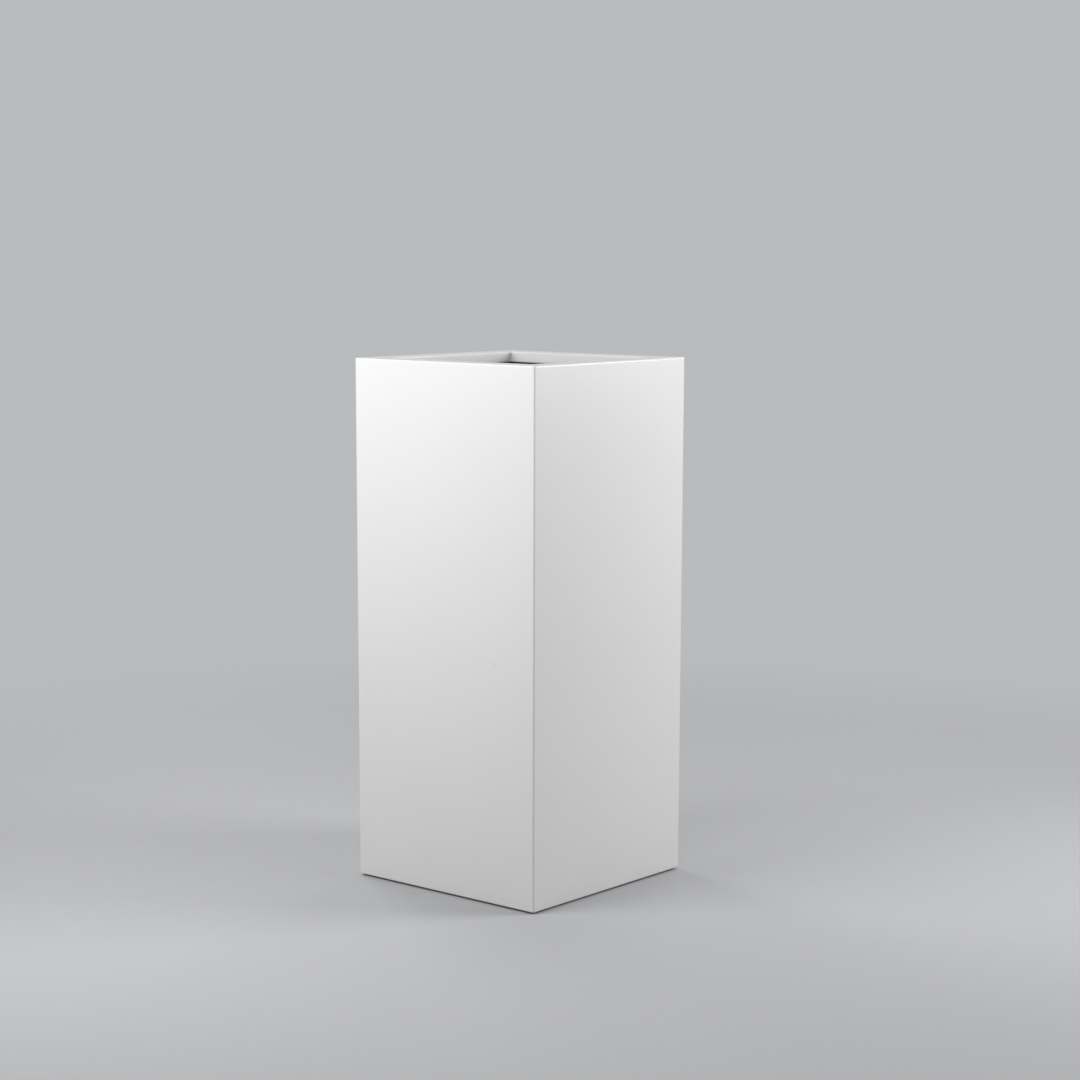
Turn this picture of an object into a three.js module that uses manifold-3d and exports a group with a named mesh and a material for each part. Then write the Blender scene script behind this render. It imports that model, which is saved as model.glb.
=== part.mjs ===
// Tall square planter, moulded in glass-reinforced plastic (GRP).
// Millimetres, +Z up. The origin is on the floor, under the middle of the planter.
import * as THREE from 'three';
import { mergeVertices } from 'three/addons/utils/BufferGeometryUtils.js';
import Module from 'manifold-3d';

const wasm = await Module();
wasm.setup();

// Shell: the walls, the flat rim that turns inward, and the short return that hangs from the rim
const height = 900;
const topWidth = 400;
const draft = 2; // how far each side leans in, from the rim down to the floor
const wall = 4.5;
const cornerRadius = 3;
const smallestCorner = 0.5; // least radius of any corner of the shell, seen from above
const edgeRadius = 2;
const rimWidth = 44;
const rimThickness = 5;
const returnDepth = 19; // from the top of the rim to the lower edge of the return
const returnThickness = 4;
const openingCornerRadius = 4;
const floorThickness = 5;

// Underside: a standing border round a raised middle, where the feet are screwed on
const borderWidth = 34;
const recessTaper = 2; // the recess closes in by this much on its way up, for release
const footGap = 3; // light under the border, because the feet stand proud of it

// Feet and their screws
const footRadius = 21;
const footThickness = 8;
const footChamfer = 1.5;
const footInset = 60; // from the foot's centre to the outside of the shell at the floor
const screwRadius = 2.2;
const screwHeadRadius = 4.5;
const screwHeadHeight = 2.6;
const screwHeadRecess = 2.2; // how far the head lies up inside the foot
const screwBite = 9; // thread inside the base board
const screwTip = 3;
const driveSlotLength = 4.6;
const driveSlotWidth = 1.1;
const driveSlotDepth = 1.4;

// Base board: plywood bonded to the floor of the shell
const boardThickness = 12;
const boardCornerEase = 1; // how much rounder its corners are than the shell's inside corners

// Drain holes and the rubber plugs that close them from inside
const drainRadius = 12.5;
const drainPitch = 160;
const plugLip = 6; // how far the plug's flange covers the board round its hole
const plugFlange = 3.5;
const plugKnobRadius = 6;
const plugKnobHeight = 7;
const plugRib = 1.2; // how far the sealing ribs stand out of the stem
const plugRibHeight = 3.2;
const plugRibPlaces = [0.35, 0.7]; // as shares of the stem's length, from its lower end
const plugNeck = 1.5; // how much narrower the neck is than the knob
const plugBevel = 1;
const plugProud = 1.5; // stem below the floor of the shell, to push the plug out by

// Shelf that carries the soil, and the ledges that it rests on
const shelfDepth = 300; // from the top of the rim down to the top of the shelf
const shelfThickness = 12;
const shelfClearance = 4;
const shelfCornerRadius = 8;
const fingerHoleRadius = 14;
const fingerHoleMargin = 10; // from the hole's edge to the ledge below
const seepHoleRadius = 4;
const seepHoleRows = 5;
const seepHoleMargin = 12; // from the outer row's edge to the finger hole's edge
const ledgeWidth = 22;
const ledgeHeight = 30;

// Timber battens bonded under the rim, between the wall and the return
const battenThickness = 12;

// Fits
const seatGap = 0.3; // between two pieces that rest on or are bonded to each other
const tipCut = 4; // corner taken off the outer tip of a mitred batten
const cornerSteps = 5;
const roundSides = 32;
const holeSides = 24;
const cutMargin = 2; // how far a cutter runs past the face that it goes through

// Places worked out from the sizes above
const topHalf = topWidth / 2;
const openingHalf = topHalf - rimWidth;
const borderBottom = footGap;
const recessTop = footThickness + seatGap;
const floorTop = recessTop + floorThickness;
const recessHalf = outerHalf(borderBottom) - borderWidth;
const innerCornerRadius = Math.max(cornerRadius - wall, 1);
const rimUnderside = height - rimThickness;
const returnBottom = height - returnDepth;
const footCentre = outerHalf(0) - footInset;
const boardBottom = floorTop + seatGap;
const boardTop = boardBottom + boardThickness;
const drainCentre = drainPitch / 2;
const shelfTop = height - shelfDepth;
const shelfBottom = shelfTop - shelfThickness;
const shelfHalf = innerHalf(shelfBottom) - shelfClearance;
const ledgeTop = shelfBottom - seatGap;
const ledgeBottom = ledgeTop - ledgeHeight;
const ledgeOuter = innerHalf(ledgeBottom) - seatGap;
const ledgeInner = ledgeOuter - ledgeWidth;
const battenTop = rimUnderside - seatGap;
const battenBottom = battenTop - battenThickness;
const battenOuter = innerHalf(battenBottom) - seatGap;
const battenInner = openingHalf + returnThickness + seatGap;
const screwBottom = screwHeadRecess;
const screwTop = boardBottom + screwBite;
const screwHoleRadius = screwRadius + seatGap;

// Half the width of the shell at a height, outside and inside its wall
function outerHalf(z) {
  return topWidth / 2 - draft * (1 - z / height);
}

function innerHalf(z) {
  return outerHalf(z) - wall;
}

const finishes = {
  gelcoat: { color: 0xf1f2f3, roughness: 0.28, metalness: 0 },
  plywood: { color: 0xb8935f, roughness: 0.8, metalness: 0 },
  timber: { color: 0xc29a66, roughness: 0.85, metalness: 0 },
  rubber: { color: 0x1b1b1c, roughness: 0.7, metalness: 0 },
  shelfBoard: { color: 0x34363a, roughness: 0.75, metalness: 0 },
  screwSteel: { color: 0xb4b6b9, roughness: 0.35, metalness: 1 },
};

const planter = new THREE.Group();

function addPiece(name, geometry, finish, x = 0, y = 0, z = 0, turn = 0) {
  const piece = new THREE.Mesh(geometry, new THREE.MeshStandardMaterial(finishes[finish]));
  piece.name = name;
  piece.position.set(x, y, z);
  piece.rotation.z = turn;
  planter.add(piece);
}

// Points once round a square with rounded corners, anticlockwise seen from above
function roundedSquare(half, radius, z) {
  const ring = [];
  for (let corner = 0; corner < 4; corner++) {
    for (let step = 0; step <= cornerSteps; step++) {
      const angle = (corner + step / cornerSteps) * Math.PI / 2;
      const quarter = (corner + 0.5) * Math.PI / 2;
      const reach = (half - radius) * Math.SQRT2;
      const x = reach * Math.cos(quarter) + radius * Math.cos(angle);
      const y = reach * Math.sin(quarter) + radius * Math.sin(angle);
      ring.push(x, y, z);
    }
  }
  return ring;
}

// A solid whose level sections are rounded squares. Each row of the outline is
// [half width, corner radius, height], from the middle of the underside round to the middle of the top.
function squareTurned(outline) {
  const count = 4 * (cornerSteps + 1);
  const rings = outline.map(([half, radius, z]) => roundedSquare(half, radius, z));
  const positions = rings.flat();
  const firstCentre = outline.length * count;
  positions.push(0, 0, outline[0][2]);
  positions.push(0, 0, outline.at(-1)[2]);
  const faces = [];
  for (let i = 0; i < count; i++) {
    const next = (i + 1) % count;
    const last = (outline.length - 1) * count;
    faces.push(firstCentre, next, i);
    faces.push(firstCentre + 1, last + i, last + next);
    for (let row = 0; row < outline.length - 1; row++) {
      const low = row * count;
      const high = low + count;
      faces.push(low + i, low + next, high + next);
      faces.push(low + i, high + next, high + i);
    }
  }
  const geometry = new THREE.BufferGeometry();
  geometry.setAttribute('position', new THREE.Float32BufferAttribute(positions, 3));
  geometry.setIndex(faces);
  return geometry;
}

// Rows for a rounded edge between two faces: a quarter circle about (half, z), from one angle to another
function roundedEdge(half, z, radius, cornerAt, fromAngle, toAngle) {
  const steps = 3;
  const rows = [];
  for (let step = 0; step <= steps; step++) {
    const angle = THREE.MathUtils.degToRad(fromAngle + (toAngle - fromAngle) * step / steps);
    const reach = radius * Math.cos(angle);
    rows.push([half + reach, Math.max(cornerAt + reach, smallestCorner), z + radius * Math.sin(angle)]);
  }
  return rows;
}

function toSolid(geometry) {
  const bare = geometry.clone();
  bare.deleteAttribute('normal');
  bare.deleteAttribute('uv');
  const merged = mergeVertices(bare, 1e-4);
  return new wasm.Manifold(new wasm.Mesh({
    numProp: 3,
    vertProperties: new Float32Array(merged.attributes.position.array),
    triVerts: new Uint32Array(merged.index.array),
  }));
}

function toGeometry(solid) {
  const mesh = solid.getMesh();
  const geometry = new THREE.BufferGeometry();
  geometry.setAttribute('position', new THREE.BufferAttribute(mesh.vertProperties, 3));
  geometry.setIndex(new THREE.BufferAttribute(mesh.triVerts, 1));
  return geometry;
}

function cutAway(geometry, cutters) {
  const solid = cutters.reduce((rest, cutter) => rest.subtract(toSolid(cutter)), toSolid(geometry));
  return toGeometry(solid);
}

// An upright round cutter at (x, y), from one height to another
function drill(x, y, radius, fromZ, toZ) {
  const cutter = new THREE.CylinderGeometry(radius, radius, toZ - fromZ, holeSides);
  cutter.rotateX(Math.PI / 2);
  cutter.translate(x, y, (fromZ + toZ) / 2);
  return cutter;
}

// The four corners of the plan, with the words that name them
const corners = [
  { word: 'front_left', x: -1, y: -1 },
  { word: 'front_right', x: 1, y: -1 },
  { word: 'back_right', x: 1, y: 1 },
  { word: 'back_left', x: -1, y: 1 },
];

// The four sides, with the turn that brings a piece made for the front round to each
const sides = [
  { word: 'front', turn: 0 },
  { word: 'right', turn: Math.PI / 2 },
  { word: 'back', turn: Math.PI },
  { word: 'left', turn: -Math.PI / 2 },
];

function shellGeometry() {
  const r = edgeRadius;
  const lowEdge = borderBottom + r;
  const highEdge = height - r;
  const lipEdge = returnThickness / 2;
  const outsideCorner = cornerRadius - r;
  const returnHalf = openingHalf + lipEdge;
  const returnCorner = openingCornerRadius + lipEdge;
  const channelCorner = openingCornerRadius + returnThickness;
  const outline = [
    [recessHalf - recessTaper, cornerRadius, recessTop],
    [recessHalf, cornerRadius, borderBottom],
    ...roundedEdge(outerHalf(lowEdge) - r, lowEdge, r, outsideCorner, -90, 0),
    ...roundedEdge(outerHalf(highEdge) - r, highEdge, r, outsideCorner, 0, 90),
    ...roundedEdge(openingHalf + r, highEdge, r, openingCornerRadius + r, 90, 180),
    ...roundedEdge(returnHalf, returnBottom + lipEdge, lipEdge, returnCorner, 180, 360),
    [openingHalf + returnThickness, channelCorner, rimUnderside],
    [innerHalf(rimUnderside), innerCornerRadius, rimUnderside],
    [innerHalf(floorTop), innerCornerRadius, floorTop],
  ];
  const fromZ = recessTop - cutMargin;
  const toZ = floorTop + cutMargin;
  const drainCuts = corners.map(({ x, y }) => {
    return drill(x * drainCentre, y * drainCentre, drainRadius, fromZ, toZ);
  });
  const screwCuts = corners.map(({ x, y }) => {
    return drill(x * footCentre, y * footCentre, screwHoleRadius, fromZ, toZ);
  });
  return cutAway(squareTurned(outline), [...drainCuts, ...screwCuts]);
}

// A flat board with rounded corners, which follows the taper of the shell's wall
function boardGeometry(bottomHalf, topHalfWidth, radius, bottomZ, topZ) {
  return squareTurned([
    [bottomHalf, radius, bottomZ],
    [topHalfWidth, radius, topZ],
  ]);
}

function baseBoardGeometry() {
  const bottomHalf = innerHalf(boardBottom) - seatGap;
  const topHalfWidth = innerHalf(boardTop) - seatGap;
  const corner = innerCornerRadius + boardCornerEase;
  const board = boardGeometry(bottomHalf, topHalfWidth, corner, boardBottom, boardTop);
  const fromZ = boardBottom - cutMargin;
  const drainCuts = corners.map(({ x, y }) => {
    return drill(x * drainCentre, y * drainCentre, drainRadius, fromZ, boardTop + cutMargin);
  });
  const pilotCuts = corners.map(({ x, y }) => {
    return drill(x * footCentre, y * footCentre, screwHoleRadius, fromZ, screwTop + seatGap);
  });
  return cutAway(board, [...drainCuts, ...pilotCuts]);
}

// A round solid from its outline, given as [radius, height] from the bottom of the axis to its top
function turned(outline, sidesRound = roundSides) {
  const points = outline.map(([radius, z]) => new THREE.Vector2(radius, z));
  const geometry = new THREE.LatheGeometry(points, sidesRound);
  geometry.rotateX(Math.PI / 2);
  return geometry;
}

function footGeometry() {
  const headHole = screwHeadRadius + seatGap;
  const headTop = screwBottom + screwHeadHeight;
  return turned([
    [screwHoleRadius, footThickness],
    [screwHoleRadius, headTop + seatGap],
    [headHole, screwBottom + seatGap],
    [headHole, 0],
    [footRadius - footChamfer, 0],
    [footRadius, footChamfer],
    [footRadius, footThickness],
    [screwHoleRadius, footThickness],
  ]);
}

// A countersunk screw, head down, with a cross recess in its head
function screwGeometry() {
  const screw = turned([
    [0, screwBottom],
    [screwHeadRadius, screwBottom],
    [screwRadius, screwBottom + screwHeadHeight],
    [screwRadius, screwTop - screwTip],
    [0, screwTop],
  ], holeSides);
  const slots = [0, Math.PI / 2].map((turn) => {
    const slot = new THREE.BoxGeometry(driveSlotLength, driveSlotWidth, 2 * driveSlotDepth);
    slot.rotateZ(turn);
    slot.translate(0, 0, screwBottom);
    return slot;
  });
  return cutAway(screw, slots);
}

// A rubber plug: a ribbed stem that fills the hole, a flange that seals on the board, and a knob to pull
function plugGeometry() {
  const stem = drainRadius - seatGap - plugRib;
  const rib = drainRadius - seatGap;
  const neck = plugKnobRadius - plugNeck;
  const flangeRadius = drainRadius + plugLip;
  const flangeBottom = boardTop + seatGap;
  const flangeTop = flangeBottom + plugFlange;
  const knobTop = flangeTop + plugKnobHeight;
  const neckTop = (flangeTop + knobTop) / 2;
  const stemBottom = recessTop - plugProud;
  const outline = [[0, stemBottom], [stem - plugRib, stemBottom], [stem, stemBottom + plugRib]];
  for (const share of plugRibPlaces) {
    const middle = stemBottom + (flangeBottom - stemBottom) * share;
    outline.push([stem, middle - plugRibHeight / 2], [rib, middle], [stem, middle + plugRibHeight / 2]);
  }
  outline.push(
    [stem, flangeBottom],
    [flangeRadius, flangeBottom],
    [flangeRadius, flangeTop - plugBevel],
    [flangeRadius - plugBevel, flangeTop],
    [neck, flangeTop],
    [neck, neckTop],
    [plugKnobRadius, neckTop + plugBevel],
    [plugKnobRadius, knobTop - plugBevel],
    [plugKnobRadius - plugBevel, knobTop],
    [0, knobTop],
  );
  return turned(outline);
}

function shelfGeometry() {
  const shelf = boardGeometry(shelfHalf, shelfHalf, shelfCornerRadius, shelfBottom, shelfTop);
  const fromZ = shelfBottom - cutMargin;
  const toZ = shelfTop + cutMargin;
  const fingerY = ledgeInner - fingerHoleMargin - fingerHoleRadius;
  const seepReach = fingerY - fingerHoleRadius - seepHoleMargin - seepHoleRadius;
  const pitch = 2 * seepReach / (seepHoleRows - 1);
  const cuts = [-1, 1].map((way) => drill(0, way * fingerY, fingerHoleRadius, fromZ, toZ));
  for (let row = 0; row < seepHoleRows; row++) {
    for (let column = 0; column < seepHoleRows; column++) {
      const x = column * pitch - seepReach;
      const y = row * pitch - seepReach;
      cuts.push(drill(x, y, seepHoleRadius, fromZ, toZ));
    }
  }
  return cutAway(shelf, cuts);
}

// A batten for the front side, mitred at both ends, with its outer tips taken off
function battenGeometry(outer, inner, bottomZ, topZ) {
  const mitre = seatGap / Math.SQRT2;
  const tip = tipCut / 2;
  const shape = new THREE.Shape([
    new THREE.Vector2(tipCut - outer, -outer),
    new THREE.Vector2(outer - tipCut, -outer),
    new THREE.Vector2(outer - tip - mitre, tip - outer),
    new THREE.Vector2(inner - mitre, -inner),
    new THREE.Vector2(mitre - inner, -inner),
    new THREE.Vector2(mitre + tip - outer, tip - outer),
  ]);
  const geometry = new THREE.ExtrudeGeometry(shape, { depth: topZ - bottomZ, bevelEnabled: false });
  geometry.translate(0, 0, bottomZ);
  return geometry;
}

addPiece('shell', shellGeometry(), 'gelcoat');
addPiece('base_board', baseBoardGeometry(), 'plywood');

for (const { word, x, y } of corners) {
  addPiece(`foot_${word}`, footGeometry(), 'rubber', x * footCentre, y * footCentre);
  addPiece(`foot_screw_${word}`, screwGeometry(), 'screwSteel', x * footCentre, y * footCentre);
  addPiece(`drain_plug_${word}`, plugGeometry(), 'rubber', x * drainCentre, y * drainCentre);
}

for (const { word, turn } of sides) {
  const ledge = battenGeometry(ledgeOuter, ledgeInner, ledgeBottom, ledgeTop);
  const batten = battenGeometry(battenOuter, battenInner, battenBottom, battenTop);
  addPiece(`shelf_ledge_${word}`, ledge, 'timber', 0, 0, 0, turn);
  addPiece(`rim_batten_${word}`, batten, 'timber', 0, 0, 0, turn);
}

addPiece('shelf', shelfGeometry(), 'shelfBoard');

export default planter;
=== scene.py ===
import math

import bpy
import numpy as np
from mathutils.geometry import delaunay_2d_cdt
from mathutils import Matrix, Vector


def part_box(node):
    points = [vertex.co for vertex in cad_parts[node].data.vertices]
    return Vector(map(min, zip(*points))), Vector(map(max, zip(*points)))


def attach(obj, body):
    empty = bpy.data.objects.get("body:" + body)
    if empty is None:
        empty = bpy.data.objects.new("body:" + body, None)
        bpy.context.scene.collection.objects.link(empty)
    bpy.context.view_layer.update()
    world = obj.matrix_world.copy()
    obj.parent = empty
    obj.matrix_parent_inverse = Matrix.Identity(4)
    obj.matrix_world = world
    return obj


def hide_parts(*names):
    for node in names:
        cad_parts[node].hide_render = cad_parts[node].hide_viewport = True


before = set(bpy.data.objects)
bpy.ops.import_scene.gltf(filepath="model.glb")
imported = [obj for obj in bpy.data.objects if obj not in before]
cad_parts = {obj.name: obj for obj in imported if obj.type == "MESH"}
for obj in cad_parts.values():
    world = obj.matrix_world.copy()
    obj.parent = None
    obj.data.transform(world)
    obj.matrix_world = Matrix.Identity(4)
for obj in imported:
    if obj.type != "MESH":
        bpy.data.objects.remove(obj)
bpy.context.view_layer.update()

# The camera stands off the near vertical edge, a little above the rim. Angles are in radians.
cameraFacts = {
    "place": (-3.2061, -2.7447, 1.1055),
    "pitchDown": 0.12252,
    "roll": -0.00242,
    "yaw": -0.87041,
    "lens": 82.22,  # millimetres, on a sensor 36 mm wide
}


def makeCamera():
    data = bpy.data.cameras.new("camera")
    data.lens = cameraFacts["lens"]
    data.sensor_width = 36.0
    data.clip_end = 50.0
    camera = bpy.data.objects.new("camera", data)
    camera.location = cameraFacts["place"]
    pitch = math.pi / 2 - cameraFacts["pitchDown"]
    camera.rotation_euler = (pitch, cameraFacts["roll"], cameraFacts["yaw"])
    bpy.context.scene.collection.objects.link(camera)
    bpy.context.scene.camera = camera


makeCamera()

# Mesh tools. A part is (points, face sets); a face set is an array of corner numbers, one row a face.
weldStep = 1e-6  # points closer than this are one point


def makePiece(name, smoothParts, flatParts=(), mark=None):
    # joins parts into one mesh; a fourth column of the points is kept as the point attribute named mark
    points = []
    faceSets = []
    shades = []
    offset = 0
    for parts, shade in ((smoothParts, True), (flatParts, False)):
        for partPoints, partFaces in parts:
            points.append(partPoints)
            faceSets += [np.asarray(faces) + offset for faces in partFaces]
            shades += [shade] * len(partFaces)
            offset += len(partPoints)
    points = np.vstack(points)
    rounded = np.round(points[:, :3] / weldStep).astype(np.int64)
    _, first, toOne = np.unique(rounded, axis=0, return_index=True, return_inverse=True)
    toOne = toOne.ravel()
    sizes = np.concatenate([np.full(len(faces), faces.shape[1]) for faces in faceSets])
    loops = np.concatenate([toOne[faces].ravel() for faces in faceSets])
    smooth = np.concatenate([np.full(len(faces), shade) for faces, shade in zip(faceSets, shades)])
    mesh = bpy.data.meshes.new(name)
    mesh.vertices.add(len(first))
    mesh.vertices.foreach_set("co", points[first, :3].astype(np.float32).ravel())
    mesh.loops.add(len(loops))
    mesh.loops.foreach_set("vertex_index", loops.astype(np.int32))
    mesh.polygons.add(len(sizes))
    starts = np.concatenate([[0], np.cumsum(sizes)[:-1]])
    mesh.polygons.foreach_set("loop_start", starts.astype(np.int32))
    mesh.polygons.foreach_set("use_smooth", smooth)
    if mark:
        attribute = mesh.attributes.new(mark, "FLOAT", "POINT")
        attribute.data.foreach_set("value", points[first, 3].astype(np.float32))
    mesh.update(calc_edges=True)
    mesh.validate()
    piece = bpy.data.objects.new(name, mesh)
    bpy.context.scene.collection.objects.link(piece)
    return piece


def bandFaces(rowCount, ringCount, closed=False):
    # quads between each row of a grid and the next, each row being a closed ring; closed joins last to first
    row = np.arange(rowCount if closed else rowCount - 1)[:, None]
    low = row * ringCount
    high = (row + 1) % rowCount * ringCount
    here = np.arange(ringCount)[None, :]
    after = (here + 1) % ringCount
    return np.stack([low + here, low + after, high + after, high + here], axis=-1).reshape(-1, 4)


def grid(rings, closed=False, inward=False):
    # a part from rows of rings
    faces = bandFaces(*rings.shape[:2], closed)
    return rings.reshape(-1, rings.shape[2]), [faces[:, ::-1] if inward else faces]


def fan(ring, up, lift=0.0):
    # triangles from the middle of a ring, raised by lift, to each of its sides
    middle = ring.mean(axis=0)
    middle[2] += lift
    here = np.arange(len(ring))
    after = (here + 1) % len(ring)
    centre = np.full(len(ring), len(ring))
    corners = [centre, here, after] if up else [centre, after, here]
    return np.vstack([ring, middle]), [np.stack(corners, axis=-1)]


def turned(rows, sides, centre=(0.0, 0.0)):
    # rows of (radius, height) turned about an upright axis at centre: (x + r cos a, y + r sin a, z)
    rows = np.asarray(rows, float)
    angle = np.arange(sides) * 2 * math.pi / sides
    x = centre[0] + rows[:, :1] * np.cos(angle)
    y = centre[1] + rows[:, :1] * np.sin(angle)
    return np.stack([x, y, np.broadcast_to(rows[:, 1:2], x.shape)], axis=2)


quarterTurns = ((1, 0), (0, 1), (-1, 0), (0, -1))  # cosine and sine of each


def fourTurns(points):
    # a row of flat points repeated at each quarter turn
    return np.vstack([points @ np.array([[c, s], [-s, c]]) for c, s in quarterTurns])


def squarePath(sideSteps, cornerSteps=8, hold=0.008):
    # once round a rounded square: a point is (half - radius) * spot + radius * out, where spot runs round
    # the plain square from -1 to 1 and out is the outward direction there, turning a quarter at each corner
    along = np.concatenate([[-1], np.linspace(-1 + hold, 1 - hold, sideSteps), [1]])
    turn = np.linspace(0, math.pi / 2, cornerSteps + 1)[1:-1]
    spot = np.vstack([np.stack([np.ones_like(along), along], 1), np.ones((len(turn), 2))])
    straight = np.stack([np.ones_like(along), np.zeros_like(along)], 1)
    out = np.vstack([straight, np.stack([np.cos(turn), np.sin(turn)], 1)])
    return fourTurns(spot), fourTurns(out)


def squareRings(rows, path):
    # rows of (half width, corner radius, height, ...) carried round the path, keeping what follows height
    spot, out = path
    rows = np.asarray(rows, float)
    reach = np.maximum(rows[:, 0] - rows[:, 1], 0)[:, None, None]
    flat = reach * spot[None] + rows[:, 1][:, None, None] * out[None]
    rest = np.broadcast_to(rows[:, None, 2:], flat.shape[:2] + (rows.shape[1] - 2,))
    return np.concatenate([flat, rest], axis=2)


def fillet(corners, steps=6, closed=False):
    # an outline through corners of (across, up, radius, ...), each one rounded by its radius. The arc's
    # centre is on the bisector at radius / sin(half angle), and it swings between two tangent points.
    corners = np.asarray(corners, float)
    count = len(corners)
    rows = []
    for number, corner in enumerate(corners):
        point, radius, rest = corner[:2], corner[2], corner[3:]
        if radius == 0 or (not closed and number in (0, count - 1)):
            rows.append(np.concatenate([point, rest])[None])
            continue
        back = corners[number - 1, :2] - point
        on = corners[(number + 1) % count, :2] - point
        back /= np.linalg.norm(back)
        on /= np.linalg.norm(on)
        half = math.acos(np.clip(back @ on, -1, 1)) / 2
        middle = point + (back + on) / np.linalg.norm(back + on) * radius / math.sin(half)
        swing = math.pi - 2 * half
        share = np.linspace(0, 1, steps + 1)[:, None]
        reach = radius / math.tan(half)
        start = point + back * reach - middle
        end = point + on * reach - middle
        arc = middle + (start * np.sin((1 - share) * swing) + end * np.sin(share * swing)) / math.sin(swing)
        rows.append(np.hstack([arc, np.broadcast_to(rest, (steps + 1, len(rest)))]))
    return np.vstack(rows)


def refine(rows, hold, longest, closed=False):
    # extra rows on each stretch of an outline: one at hold from either end, so that a flat stays flat
    # beside a rounded edge, and even steps between them, none longer than longest
    rows = np.asarray(rows, float)
    if closed:
        rows = np.vstack([rows, rows[:1]])
    filled = []
    for start, end in zip(rows[:-1], rows[1:]):
        length = np.linalg.norm(end[:3] - start[:3])
        shares = [0.0]
        if length > 3 * hold:
            steps = math.ceil((length - 2 * hold) / longest)
            shares += list(np.linspace(hold, length - hold, steps + 1) / length)
        filled.append(start + np.outer(shares, end - start))
    if not closed:
        filled.append(rows[-1:])
    return np.vstack(filled)


def insideLoop(points, loop):
    # which points a loop goes round: those from which a level line to the right crosses it an odd
    # number of times
    start = loop[None]
    end = np.roll(loop, -1, axis=0)[None]
    x, y = points[:, :1], points[:, 1:2]
    crosses = (start[..., 1] > y) != (end[..., 1] > y)
    rise = np.where(crosses, end[..., 1] - start[..., 1], 1.0)
    place = start[..., 0] + (y - start[..., 1]) / rise * (end[..., 0] - start[..., 0])
    return (crosses & (x < place)).sum(axis=1) % 2 == 1


def flatFill(outline, holes, up, mark=None):
    # a level face between an outline and the holes in it, as triangles
    z = outline[0][2]
    loops = [np.asarray(loop)[:, :2] for loop in [outline, *holes]]
    starts = np.cumsum([0] + [len(loop) for loop in loops])
    edges = []
    for loop, start in zip(loops, starts):
        here = np.arange(len(loop))
        edges.append(np.stack([here, (here + 1) % len(loop)], 1) + start)
    flat = np.vstack(loops)
    faces = np.array(delaunay_2d_cdt(flat.tolist(), np.vstack(edges).tolist(), [], 0, 1e-9)[2])
    middles = flat[faces].mean(axis=1)
    kept = insideLoop(middles, loops[0])
    for loop in loops[1:]:
        kept &= ~insideLoop(middles, loop)
    faces = faces[kept]
    a, b, c = (flat[faces[:, i]] for i in range(3))
    area = (b[:, 0] - a[:, 0]) * (c[:, 1] - a[:, 1]) - (b[:, 1] - a[:, 1]) * (c[:, 0] - a[:, 0])
    wrongWay = (area < 0) if up else (area > 0)
    faces[wrongWay] = faces[wrongWay][:, ::-1]
    columns = [flat, np.full((len(flat), 1), z)]
    if mark is not None:
        columns.append(np.full((len(flat), 1), mark))
    return np.hstack(columns), [faces]


def drilledHoles(holes, low, high, ease, marks=None):
    # the walls of upright holes from the face at low to the face at high, with eased edges. A hole is
    # (x, y, radius, end); end is None for a through hole, or else the height at which it stops.
    parts = []
    lowRings = []
    highRings = []
    for x, y, radius, end in holes:
        sides = 40 if radius > 0.003 else 24
        if end is None:
            corners = [(radius + 2 * ease, low, 0), (radius, low, ease), (radius, high, ease)]
            corners.append((radius + 2 * ease, high, 0))
        else:
            corners = [(radius + 2 * ease, low, 0), (radius, low, ease), (radius, end, ease / 2)]
            corners.append((radius / 5, end + radius / 2, 0))
        rings = turned(refine(fillet(corners, 4), ease / 2, 0.004), sides, (x, y))
        if marks is not None:
            share = (rings[:, :, 2:] - low) / (high - low)
            rings = np.concatenate([rings, marks[0] + (marks[1] - marks[0]) * (share > 0.5)], axis=2)
        parts.append(grid(rings, inward=True))
        lowRings.append(rings[0])
        if end is None:
            highRings.append(rings[-1])
        else:
            parts.append(fan(rings[-1], up=False, lift=radius / 10))
    return parts, lowRings, highRings


def place(piece, body, node, slot, material):
    # hands a finished piece over: what it rides on, the solid it stands for, and its finish
    piece.data.materials.append(material)
    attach(piece, body)
    if node:
        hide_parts(node)


# Material tools


def newMaterial(name, **values):
    material = bpy.data.materials.new(name)
    material.use_nodes = True
    shader = material.node_tree.nodes["Principled BSDF"]
    for key, value in values.items():
        shader.inputs[key].default_value = value
    return material, material.node_tree, shader


def addNode(tree, kind, inputs=None, **settings):
    node = tree.nodes.new(kind)
    for key, value in settings.items():
        setattr(node, key, value)
    for key, value in (inputs or {}).items():
        if isinstance(value, bpy.types.NodeSocket):
            tree.links.new(value, node.inputs[key])
        else:
            node.inputs[key].default_value = value
    return node


def objectSpace(tree, scale=(1, 1, 1), turn=(0, 0, 0), shift=(0, 0, 0)):
    spot = addNode(tree, "ShaderNodeTexCoord").outputs["Object"]
    values = {"Vector": spot, "Location": shift, "Rotation": turn, "Scale": scale}
    return addNode(tree, "ShaderNodeMapping", values).outputs["Vector"]


def noise(tree, vector, scale, detail=3.0, rough=0.5):
    values = {"Vector": vector, "Scale": scale, "Detail": detail, "Roughness": rough}
    return addNode(tree, "ShaderNodeTexNoise", values).outputs["Fac"]


def remap(tree, value, low, high, toLow=0.0, toHigh=1.0, smooth=False):
    kind = "SMOOTHSTEP" if smooth else "LINEAR"
    values = {"Value": value, "From Min": low, "From Max": high, "To Min": toLow, "To Max": toHigh}
    return addNode(tree, "ShaderNodeMapRange", values, interpolation_type=kind).outputs["Result"]


def calc(tree, operation, first, second=0.0):
    return addNode(tree, "ShaderNodeMath", {0: first, 1: second}, operation=operation).outputs[0]


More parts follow.
